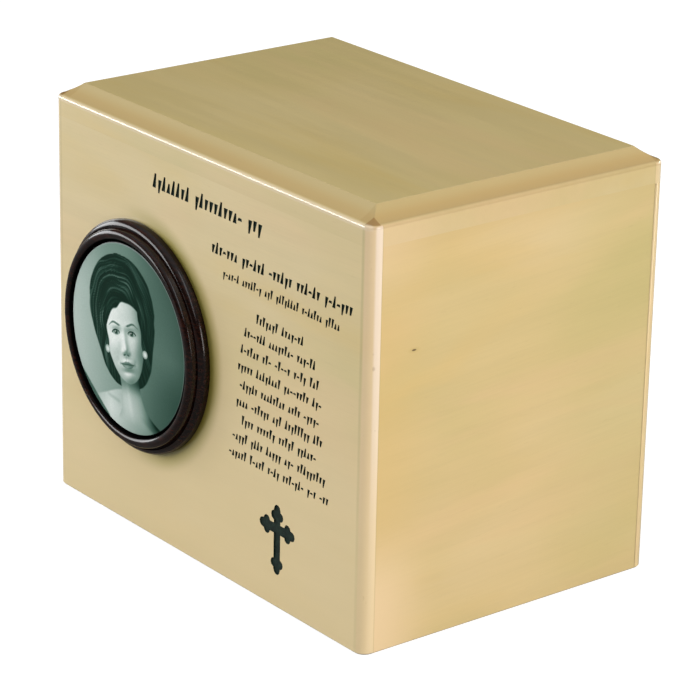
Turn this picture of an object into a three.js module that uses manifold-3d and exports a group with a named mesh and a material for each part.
// Wooden cremation urn box: four boards, a moulded top board, a screwed base panel,
// and a round portrait medallion in a turned dark bezel on the front.
// Millimetres, +Z up. The origin is the middle of the underside of the box,
// the inscribed front faces -Y and +X is to the right of someone who reads it.

import * as THREE from 'three';
import { mergeVertices } from 'three/addons/utils/BufferGeometryUtils.js';
import Module from 'manifold-3d';

// Box
const boxWidth = 218;
const boxDepth = 151;
const boxHeight = 184;
const wallThickness = 12.7;
const topThickness = 14;
const jointLip = 5.6;         // front and back boards cover the ends of the side boards by this
const glueLine = 0.05;        // space left at every glued joint
const cornerRadius = 5;       // upright edges of the box
const bottomEase = 0.6;       // worn arris round the foot of the boards

// Moulding round the top
const coveInset = 9.6;
const coveDrop = 5.3;
const coveSag = 0.5;          // how far the cove is hollowed below its chord
const shoulderRadius = 1.4;   // soft arris under the cove
const shoulderTurn = Math.PI / 3;
const topEase = 0.5;          // soft arris above it
const mitreRadius = 0.5;      // sanded mitres

// Base panel, let into the feet of the boards from below
const panelThickness = 6.4;
const panelLap = 8;           // how far the panel runs under each board
const panelGap = 0.3;

// Countersunk screws that hold the base panel
const screwHeadRadius = 2.9;
const screwShankRadius = 1.35;
const screwHeadHeight = 1.8;
const screwLength = 15;
const screwTipLength = 2.4;
const screwSink = 0.25;       // head below the underside
const screwEndInset = 18;     // from the end of the panel
const screwClearance = 0.12;
const crossSlotWidth = 0.7;
const crossSlotLength = 2.9;
const crossSlotDepth = 1.1;

// Portrait medallion
const medallionRadius = 41.7;
const medallionRimHeight = 6.6;   // above the front board
const medallionDome = 1.3;    // crown above the rim
const medallionEase = 0.6;    // worn edge

// Turned bezel
const medallionGap = 0.8;     // dark gap between medallion and bezel
const bezelWidth = 8;         // from the recess to its outer edge
const bezelThickness = 8.2;
const bezelFloor = 2.6;       // wood behind the medallion
const bezelEase = 0.4;        // worn edge against the front board
const bezelEdgeMargin = 14;   // from the left edge of the front to the bezel
const bezelLowering = 3.7;    // its centre below the middle of the front
const lowerRollHeight = 4.8;  // crest of the outer, lower roll
const grooveDepth = 0.7;      // below that crest
const grooveWidth = 0.3;
const lowerRollShare = 0.37;  // radius of each roll over the bezel's width
const innerRollShare = 0.3;

// Engraving
const engravingDepth = 0.5;
const inscriptionMargin = 10.2;   // from the right edge of the front to the widest row
const titleDrop = 27.4;       // box top to the foot of the first row
const titleWidth = 75.6;
const titleShift = 2.3;       // the first row's centre, right of the middle of the box
const titleHeight = 6.6;
const nameDrop = 43.8;
const nameHeight = 5.2;
const dateDrop = 52.3;
const dateHeight = 3.8;
const dateShare = 0.83;       // width of the third row over the second
const verseDrop = 65.4;
const verseClearance = 11.3;  // last verse row above the cross
const verseFill = 0.53;       // height of a verse row over the row spacing
const strokeLean = 0.17;      // sideways shift per height
const strokePitchShare = 0.5; // stroke spacing over row height

// Budded cross under the inscription
const crossFoot = 14.7;       // above the underside
const crossHeight = 30.8;
const crossSpan = 23.7;
const crossArmDrop = 10.6;    // from its top to the middle of its arms
const crossBarWidth = 4.4;
const crossBudRadius = 2.1;
const budSetback = 1.35;      // side buds behind the end bud, over the bud's radius
const budSpread = 0.95;       // side buds off the arm's middle, over the bud's radius

// Facets
const cornerSegments = 6;
const coveSegments = 6;
const arrisSegments = 3;
const turnedSegments = 48;
const screwSegments = 14;
const crownRings = 5;
const budSegments = 10;

const halfWidth = boxWidth / 2;
const halfDepth = boxDepth / 2;
const frontY = -halfDepth;
const topSeam = boxHeight - topThickness;
const panelWidth = boxWidth - 2 * (wallThickness - panelLap + panelGap);
const panelDepth = boxDepth - 2 * (wallThickness - panelLap + panelGap);
const recessRadius = medallionRadius + medallionGap;
const bezelRadius = recessRadius + bezelWidth;
const bezelX = -halfWidth + bezelEdgeMargin + bezelRadius;
const bezelZ = boxHeight / 2 - bezelLowering;
const beyond = 2;             // how far a cutting shape runs past what it cuts

const wasm = await Module();
wasm.setup();

// Solids for joining and cutting

function closedMesh(geometry) {
  const bare = geometry.clone();
  bare.deleteAttribute('normal');
  bare.deleteAttribute('uv');
  const merged = mergeVertices(bare, 1e-4);
  const source = merged.index.array;
  const kept = [];
  for (let i = 0; i < source.length; i += 3) {
    const [a, b, c] = [source[i], source[i + 1], source[i + 2]];
    if (a !== b && b !== c && c !== a) kept.push(a, b, c);
  }
  merged.setIndex(kept);
  return merged;
}

function toSolid(geometry) {
  const merged = closedMesh(geometry);
  return new wasm.Manifold(new wasm.Mesh({
    numProp: 3,
    vertProperties: new Float32Array(merged.attributes.position.array),
    triVerts: new Uint32Array(merged.index.array),
  }));
}

function toGeometry(solid) {
  const mesh = solid.getMesh();
  const geometry = new THREE.BufferGeometry();
  geometry.setAttribute('position', new THREE.BufferAttribute(new Float32Array(mesh.vertProperties), 3));
  geometry.setIndex(new THREE.BufferAttribute(new Uint32Array(mesh.triVerts), 1));
  return geometry;
}

// A block between two opposite corners
function block(x0, y0, z0, x1, y1, z1) {
  const geometry = new THREE.BoxGeometry(x1 - x0, y1 - y0, z1 - z0);
  geometry.translate((x0 + x1) / 2, (y0 + y1) / 2, (z0 + z1) / 2);
  return toSolid(geometry);
}

// Rounded rectangle of the box's plan, drawn in by inset, as points round its outline
function planLoop(inset) {
  const radius = Math.max(cornerRadius - inset, mitreRadius);
  const cx = halfWidth - inset - radius;
  const cy = halfDepth - inset - radius;
  const points = [];
  [[cx, cy, 0], [-cx, cy, 1], [-cx, -cy, 2], [cx, -cy, 3]].forEach(([x, y, quarter]) => {
    for (let i = 0; i <= cornerSegments; i += 1) {
      const angle = (quarter + i / cornerSegments) * Math.PI / 2;
      points.push([x + radius * Math.cos(angle), y + radius * Math.sin(angle)]);
    }
  });
  return points;
}

// A solid through level loops, each level an inset and a height
function loft(levels) {
  const loops = levels.map(([inset, z]) => planLoop(inset).map(([x, y]) => [x, y, z]));
  const count = loops[0].length;
  const index = [];
  for (let level = 0; level + 1 < loops.length; level += 1) {
    for (let i = 0; i < count; i += 1) {
      const a = level * count + i;
      const b = level * count + (i + 1) % count;
      index.push(a, b, b + count, a, b + count, a + count);
    }
  }
  const last = (loops.length - 1) * count;
  for (let i = 1; i + 1 < count; i += 1) {
    index.push(0, i + 1, i);
    index.push(last, last + i, last + i + 1);
  }
  const geometry = new THREE.BufferGeometry();
  geometry.setAttribute('position', new THREE.Float32BufferAttribute(loops.flat(2), 3));
  geometry.setIndex(index);
  return geometry;
}

// Points of an arc, without its start
function arc(cx, cy, radius, from, to, steps) {
  const points = [];
  for (let i = 1; i <= steps; i += 1) {
    const angle = from + (to - from) * i / steps;
    points.push([cx + radius * Math.cos(angle), cy + radius * Math.sin(angle)]);
  }
  return points;
}

// A flat outline in the plane of the front, as a cutter that reaches engravingDepth into it
function frontCutter(outline) {
  const shape = new THREE.Shape(outline.map(([x, z]) => new THREE.Vector2(x, z)));
  const geometry = new THREE.ExtrudeGeometry(shape, { depth: engravingDepth + beyond, bevelEnabled: false });
  geometry.rotateX(Math.PI / 2);
  geometry.translate(0, frontY + engravingDepth, 0);
  return toSolid(geometry);
}

// Top board with its hollow moulding

function coveLevels() {
  const shoulderZ = boxHeight - coveDrop;
  const arrisFoot = shoulderZ - shoulderRadius * Math.sin(shoulderTurn);
  const levels = [[0, topSeam], [0, arrisFoot]];
  arc(shoulderRadius, arrisFoot, shoulderRadius, Math.PI, Math.PI - shoulderTurn, arrisSegments)
    .forEach((level) => levels.push(level));
  const [startInset, startZ] = levels[levels.length - 1];
  const run = coveInset - topEase - startInset;
  const rise = boxHeight - topEase / 2 - startZ;
  const chord = Math.hypot(run, rise);
  for (let i = 1; i <= coveSegments; i += 1) {
    const t = i / coveSegments;
    const sag = coveSag * 4 * t * (1 - t);
    levels.push([startInset + run * t + sag * rise / chord, startZ + rise * t - sag * run / chord]);
  }
  levels.push([coveInset, boxHeight]);
  return levels;
}

// Boards of the body

const shell = toSolid(loft([[bottomEase, 0], [0, bottomEase], [0, topSeam - glueLine]]));

const panelPocket = block(
  -panelWidth / 2 - panelGap, -panelDepth / 2 - panelGap, -beyond,
  panelWidth / 2 + panelGap, panelDepth / 2 + panelGap, panelThickness + glueLine,
);

const screwX = panelWidth / 2 - screwEndInset;
const screwY = panelDepth / 2 - panelLap / 2;
const screwPlaces = [[-screwX, -screwY], [-screwX, screwY], [screwX, -screwY], [screwX, screwY]];

// A screw turned from its half section, grown by a clearance; mouth is how far a hole runs below its head
function screwSolid(grow, mouth) {
  const neckZ = screwSink + screwHeadHeight;
  const tipZ = screwSink + screwLength;
  const mouthZ = screwSink - mouth;
  const mouthOutline = mouth > 0 ? [[0, mouthZ], [screwHeadRadius + grow, mouthZ]] : [[0, screwSink]];
  const outline = [
    ...mouthOutline,
    [screwHeadRadius + grow, screwSink],
    [screwShankRadius + grow, neckZ],
    [screwShankRadius + grow, tipZ - screwTipLength],
    [0, tipZ + grow],
  ];
  const geometry = new THREE.LatheGeometry(outline.map(([r, z]) => new THREE.Vector2(r, z)), screwSegments);
  geometry.rotateX(Math.PI / 2);
  return toSolid(geometry);
}

const screwHoles = screwPlaces.map(([x, y]) => screwSolid(screwClearance, beyond).translate([x, y, 0]));

function longBoard(side) {
  const inner = side * (halfDepth - wallThickness);
  const outer = side * (halfDepth + beyond);
  let board = shell.intersect(block(
    -halfWidth - beyond, Math.min(inner, outer), -beyond,
    halfWidth + beyond, Math.max(inner, outer), boxHeight,
  ));
  const lip = side * (halfDepth - jointLip);
  const inside = side * (halfDepth - wallThickness - beyond);
  [-1, 1].forEach((end) => {
    const socket = end * (halfWidth - wallThickness - glueLine);
    const past = end * (halfWidth + beyond);
    board = board.subtract(block(
      Math.min(socket, past), Math.min(lip, inside), -beyond,
      Math.max(socket, past), Math.max(lip, inside), boxHeight,
    ));
  });
  board = board.subtract(panelPocket);
  screwHoles.forEach((hole) => {
    board = board.subtract(hole);
  });
  return board;
}

function endBoard(side) {
  const inner = side * (halfWidth - wallThickness);
  const outer = side * (halfWidth + beyond);
  return shell.intersect(block(
    Math.min(inner, outer), -halfDepth + jointLip + glueLine, -beyond,
    Math.max(inner, outer), halfDepth - jointLip - glueLine, boxHeight,
  )).subtract(panelPocket);
}

function basePanel() {
  let panel = block(-panelWidth / 2, -panelDepth / 2, 0, panelWidth / 2, panelDepth / 2, panelThickness);
  screwHoles.forEach((hole) => {
    panel = panel.subtract(hole);
  });
  return panel;
}

function baseScrew() {
  let screw = screwSolid(0, 0);
  const [long, wide] = [crossSlotLength / 2, crossSlotWidth / 2];
  const slotTop = screwSink + crossSlotDepth;
  screw = screw.subtract(block(-long, -wide, -beyond, long, wide, slotTop));
  return screw.subtract(block(-wide, -long, -beyond, wide, long, slotTop));
}

// Inscription: rows of slanted wedge cuts, grouped like words

const inscriptionLeft = bezelX + bezelRadius;
const inscriptionRight = halfWidth - inscriptionMargin;
const inscriptionWidth = inscriptionRight - inscriptionLeft;
const columnX = (inscriptionLeft + inscriptionRight) / 2;
const verseTop = boxHeight - verseDrop;
const verseFoot = crossFoot + crossHeight + verseClearance;

// Share of the inscription's width that each verse row takes, from the top
const verseShares = [0.34, 0.51, 0.56, 0.6, 0.57, 0.62, 0.54, 0.67, 0.72];
const versePitch = (verseTop - verseFoot) / (verseShares.length - 1);

// Each kind of stroke: foot and head over the row's height, and their widths over the spacing
const strokeKinds = [
  { foot: 0, head: 0.68, footWidth: 0.34, headWidth: 0.81 },
  { foot: 0, head: 0.64, footWidth: 0.78, headWidth: 0.31 },
  { foot: 0, head: 1, footWidth: 0.36, headWidth: 0.78 },
  { foot: 0.26, head: 0.46, footWidth: 0.91, headWidth: 0.6 },
  { foot: 0, head: 0.68, footWidth: 0.39, headWidth: 0.73 },
  { foot: -0.26, head: 0.62, footWidth: 0.29, headWidth: 0.78 },
  { foot: 0, head: 0.95, footWidth: 0.75, headWidth: 0.34 },
];

function inscriptionRows() {
  const rows = [
    { x: titleShift, z: boxHeight - titleDrop, width: titleWidth, height: titleHeight, word: 9 },
    { x: columnX, z: boxHeight - nameDrop, width: inscriptionWidth, height: nameHeight, word: 8 },
    { x: columnX, z: boxHeight - dateDrop, width: inscriptionWidth * dateShare, height: dateHeight, word: 6 },
  ];
  verseShares.forEach((share, i) => {
    const z = verseTop - versePitch * i;
    rows.push({ x: columnX, z, width: inscriptionWidth * share, height: versePitch * verseFill, word: 6 });
  });
  return rows;
}

// Repeatable choice of stroke kinds and word lengths
let chance = 7;
function pick(count) {
  chance = (chance * 1103 + 12345) % 65536;
  return Math.floor(chance / 65536 * count);
}

// One leaning wedge cut, with its own width at foot and head
function wedge(x, foot, head, footWidth, headWidth) {
  const shift = strokeLean * (head - foot) / 2;
  return [
    [x - shift - footWidth / 2, foot],
    [x - shift + footWidth / 2, foot],
    [x + shift + headWidth / 2, head],
    [x + shift - headWidth / 2, head],
  ];
}

// Strokes of one row, an empty place between words of about row.word strokes
function rowStrokes(row) {
  const places = Math.round(row.width / (row.height * strokePitchShare));
  const step = row.width / places;
  const strokes = [];
  let left = row.word - 2 + pick(4);
  for (let i = 0; i < places; i += 1) {
    if (left === 0 && i < places - 3) {
      left = row.word - 3 + pick(6);
      continue;
    }
    left = Math.max(left - 1, 0);
    const x = row.x - row.width / 2 + (i + 0.5) * step;
    const kind = strokeKinds[pick(strokeKinds.length)];
    const foot = row.z + kind.foot * row.height;
    const head = row.z + kind.head * row.height;
    strokes.push(wedge(x, foot, head, kind.footWidth * step, kind.headWidth * step));
  }
  return strokes;
}

function rectangle(x0, z0, x1, z1) {
  return [[x0, z0], [x1, z0], [x1, z1], [x0, z1]];
}

function crossOutlines() {
  const top = crossFoot + crossHeight;
  const armZ = top - crossArmDrop;
  const bar = crossBarWidth / 2;
  const reach = crossSpan / 2 - crossBudRadius;
  const bars = [
    rectangle(columnX - bar, crossFoot + crossBudRadius, columnX + bar, top - crossBudRadius),
    rectangle(columnX - reach, armZ - bar, columnX + reach, armZ + bar),
  ];
  const ends = [[0, 1, top - armZ], [0, -1, armZ - crossFoot], [1, 0, crossSpan / 2], [-1, 0, crossSpan / 2]];
  const buds = ends.flatMap(([ox, oz, length]) => {
    const tip = length - crossBudRadius;
    const back = tip - budSetback * crossBudRadius;
    const out = budSpread * crossBudRadius;
    return [[tip, 0], [back, out], [back, -out]]
      .map(([along, across]) => [columnX + ox * along + oz * across, armZ + oz * along + ox * across]);
  });
  return [...bars, ...buds.map(([x, z]) => arc(x, z, crossBudRadius, 0, 2 * Math.PI, budSegments))];
}

function frontBoard() {
  const outlines = [...inscriptionRows().flatMap(rowStrokes), ...crossOutlines()];
  return longBoard(-1).subtract(wasm.Manifold.union(outlines.map(frontCutter)));
}

// Turned work on the front; heights are above the front board

function turned(profile) {
  const points = profile.map(([r, height]) => new THREE.Vector2(r, height));
  const geometry = new THREE.LatheGeometry(points, turnedSegments);
  geometry.rotateX(Math.PI);
  return closedMesh(geometry);
}

// Lower roll, narrow groove, then a taller inner roll that dips into the recess
function bezelProfile() {
  const lowerRoll = lowerRollShare * bezelWidth;
  const innerRoll = innerRollShare * bezelWidth;
  const lowerCentre = lowerRollHeight - lowerRoll;
  const innerCentre = bezelThickness - innerRoll;
  const grooveHeight = lowerRollHeight - grooveDepth;
  const grooveRadius = recessRadius + 2 * innerRoll;
  return [
    [0, glueLine],
    [bezelRadius - bezelEase, glueLine],
    [bezelRadius, lowerCentre],
    ...arc(bezelRadius - lowerRoll, lowerCentre, lowerRoll, 0, 0.44 * Math.PI, 4),
    [grooveRadius + grooveWidth, grooveHeight],
    [grooveRadius, grooveHeight],
    ...arc(recessRadius + innerRoll, innerCentre, innerRoll, 0, 0.92 * Math.PI, 7),
    [recessRadius, innerCentre],
    [recessRadius, bezelFloor],
    [0, bezelFloor],
  ];
}

function medallionProfile() {
  const back = bezelFloor + glueLine;
  const crownRadius = medallionRadius - medallionEase;
  const profile = [
    [0, back],
    [crownRadius, back],
    [medallionRadius, back + medallionEase],
    [medallionRadius, medallionRimHeight - medallionEase],
  ];
  for (let i = 0; i <= crownRings; i += 1) {
    const share = 1 - i / crownRings;
    profile.push([crownRadius * share, medallionRimHeight + medallionDome * (1 - share ** 2)]);
  }
  return profile;
}

// Finishes and nodes

const finishes = {
  paleWood: new THREE.MeshStandardMaterial({ color: 0xd8c08a, roughness: 0.35, metalness: 0 }),
  darkWood: new THREE.MeshStandardMaterial({ color: 0x24120d, roughness: 0.22, metalness: 0 }),
  glazed: new THREE.MeshStandardMaterial({ color: 0x7f9890, roughness: 0.12, metalness: 0 }),
  steel: new THREE.MeshStandardMaterial({ color: 0xa9a9a6, roughness: 0.35, metalness: 1 }),
};

const urn = new THREE.Group();

function addPiece(name, geometry, finish, x = 0, y = 0, z = 0) {
  const mesh = new THREE.Mesh(geometry, finish);
  mesh.name = name;
  mesh.position.set(x, y, z);
  urn.add(mesh);
}

addPiece('front_board', toGeometry(frontBoard()), finishes.paleWood);
addPiece('back_board', toGeometry(longBoard(1)), finishes.paleWood);
addPiece('left_board', toGeometry(endBoard(-1)), finishes.paleWood);
addPiece('right_board', toGeometry(endBoard(1)), finishes.paleWood);
addPiece('top_board', loft(coveLevels()), finishes.paleWood);
addPiece('base_panel', toGeometry(basePanel()), finishes.paleWood);
screwPlaces.forEach(([x, y], i) => {
  addPiece(`base_screw_${i + 1}`, toGeometry(baseScrew()), finishes.steel, x, y);
});
addPiece('portrait_bezel', turned(bezelProfile()), finishes.darkWood, bezelX, frontY, bezelZ);
addPiece('portrait_medallion', turned(medallionProfile()), finishes.glazed, bezelX, frontY, bezelZ);

export default urn;
